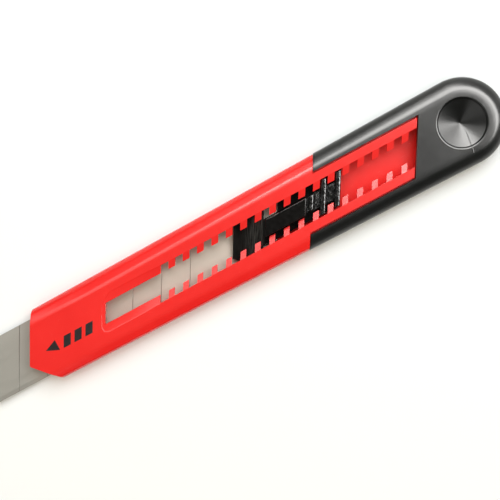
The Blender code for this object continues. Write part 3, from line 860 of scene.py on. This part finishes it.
def build_spring(material):
    wings = [RACK_START + gap * RACK_PITCH + RACK_GAP / 2 for gap in WING_GAPS]
    spring = join(
        cross_bar(box_profile(LEAF_FRONT, wings[1], LEAF_LOW, LEAF_HIGH), LEAF_HALF),
        cross_bar(box_profile(RIB, wings[1], RIDGE_LOW, BRIDGE_TOP), BRIDGE_HALF))
    for station in wings:
        spring = join(spring, ridge(station, half_length=0.99, high=8.2, reach=0.75, half=4.6))
    spring = join(spring, ridge(RIB, half_length=0.75, high=8.0, reach=0.6, half=1.95))
    for i in range(FINE_RIBS):
        start = FINE_RIB_START + i * FINE_RIB_PITCH
        end = start + FINE_RIB_LENGTH
        spring = join(spring, rounded_bar(start, end, high=7.6, reach=0.12, half=LEAF_HALF))
    middle = (wings[0] + wings[1]) / 2
    spring = join(spring, crossed_line(middle, 1), crossed_line(middle, -1))
    spring = cut(
        spring,
        pin(STAKE, 0.0, [(1.1, 0.0), (1.1, SLEEVE_TOP)]),
        pin(PEG, 0.0, [(1.2, 0.0), (1.2, SLEEVE_TOP)]))
    return finish_piece("spring_leaf", spring, material, "lock", ["ratchet_spring"])


def build_pad(material):
    profile = [
        (LEAF_FRONT, PAD_LOW), (PAD_STEP, PAD_LOW), (PAD_STEP, PAD_STEP_LOW), (PAD_REAR, PAD_STEP_LOW),
        (PAD_REAR, PAD_TOP), (LEAF_FRONT, PAD_TOP)]
    pad = cross_bar(profile, PAD_HALF)
    pad = soften(pad, width=0.22, least=40.0, segments=4, where=lambda at: at.z > 7.4)
    pad = join(pad, pin(PEG, 0.0, [(0.9, 6.0), (0.9, 7.4)]))
    return finish_piece("pad_body", pad, material, "lock", ["thumb_pad"])


# ---------------------------------------------------------------- setting

FLOOR_REACH = 3.0

# Light colours.
NEUTRAL = (1.0, 0.985, 0.96)
COOL = (0.80, 0.91, 1.0)
WARM = (1.0, 0.89, 0.71)

# Camera: what it looks at in drawing millimetres, the way back to it, how the knife is turned on the
# picture in degrees, the distance in metres and the lens in millimetres.
CAMERA_AIM = (77.685, -3.87, 5.0)
CAMERA_BACK = (0.077, 0.080, 1.0)
CAMERA_TURN = 28.223
CAMERA_DISTANCE = 0.3
CAMERA_LENS = 72.137


def floor_paper():
    kit = Nodes("floor_paper")
    colour = kit.mix(kit.noise(25.0, 3.0), (0.87, 0.868, 0.86), (0.885, 0.882, 0.875))
    return kit.use(Base_Color=colour, Roughness=0.9, Specular_IOR_Level=0.1)


def build_floor(material):
    mesh = bpy.data.meshes.new("floor")
    reach = FLOOR_REACH
    corners = [(-reach, -reach, 0.0), (reach, -reach, 0.0), (reach, reach, 0.0), (-reach, reach, 0.0)]
    mesh.from_pydata(corners, [], [(0, 1, 2, 3)])
    mesh.materials.append(material)
    floor = bpy.data.objects.new("floor", mesh)
    bpy.context.scene.collection.objects.link(floor)


def direction(azimuth, elevation):
    """Unit vector; azimuth is counted from +X towards +Y."""
    turn, rise = math.radians(azimuth), math.radians(elevation)
    return Vector((math.cos(turn) * math.cos(rise), math.sin(turn) * math.cos(rise), math.sin(rise)))


def area_light(name, towards, distance, size, power, colour):
    """Soft panel that looks back along `towards` to the middle of the scene."""
    light = bpy.data.lights.new(name, "AREA")
    light.shape = "RECTANGLE"
    light.size, light.size_y = size
    light.energy = power
    light.color = colour
    obj = bpy.data.objects.new(name, light)
    obj.location = towards * distance
    obj.rotation_mode = "QUATERNION"
    obj.rotation_quaternion = towards.to_track_quat("Z", "Y")
    bpy.context.scene.collection.objects.link(obj)
    return obj


def build_world():
    world = bpy.data.worlds.new("studio")
    world.use_nodes = True
    background = world.node_tree.nodes["Background"]
    background.inputs["Color"].default_value = (1.0, 0.95, 0.88, 1.0)
    background.inputs["Strength"].default_value = 0.05
    bpy.context.scene.world = world
    bpy.context.scene.view_settings.view_transform = "Standard"


def build_lights():
    """Three panels seen only as reflections, then two that light the surfaces without reflections."""
    reflected = (
        area_light(
            "window", direction(26.0, 48.0), distance=0.8, size=(1.7, 0.62), power=57.0, colour=NEUTRAL),
        area_light(
            "side", direction(106.0, 50.0), distance=0.8, size=(0.55, 0.5), power=2.4, colour=NEUTRAL),
        area_light(
            "card", direction(200.0, 30.0), distance=0.8, size=(1.0, 0.5), power=2.0, colour=NEUTRAL))
    for light in reflected:
        light.visible_diffuse = False
    lighting = (
        area_light(
            "key", direction(38.0, 58.0), distance=0.9, size=(0.7, 0.7), power=7.6, colour=COOL),
        area_light(
            "fill", direction(90.0, 86.0), distance=1.5, size=(3.0, 3.0), power=32.0, colour=WARM))
    for light in lighting:
        light.visible_glossy = False


def build_camera():
    """The knife is seen from almost straight above, with its length turned on the picture."""
    turn = math.radians(CAMERA_TURN)
    back = Vector(CAMERA_BACK).normalized()
    right = Vector((math.cos(turn), -math.sin(turn), 0.0))
    right = (right - back * right.dot(back)).normalized()
    up = back.cross(right)
    aim_x, aim_y, aim_z = CAMERA_AIM
    aim = Vector((row(aim_x), aim_y * MM, aim_z * MM))
    data = bpy.data.cameras.new("camera")
    data.sensor_width = 36.0
    data.lens = CAMERA_LENS
    data.clip_start = 0.01
    data.clip_end = 20.0
    camera = bpy.data.objects.new("camera", data)
    turned = Matrix((right, up, back)).transposed().to_4x4()
    camera.matrix_world = Matrix.Translation(aim + back * CAMERA_DISTANCE) @ turned
    bpy.context.scene.collection.objects.link(camera)
    bpy.context.scene.camera = camera


def main():
    build_sleeve(red_plastic())
    build_mark(mark_ink())
    build_cap(cap_plastic())
    build_carrier(slider_plastic("carrier_plastic", sheen_strength=0.5))
    build_pad(slider_plastic("pad_plastic", sheen_strength=0.0))
    build_spring(spring_metal())
    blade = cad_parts["blade"]
    blade.data.materials.clear()
    blade.data.materials.append(blade_steel())
    build_floor(floor_paper())
    build_world()
    build_lights()
    build_camera()


main()
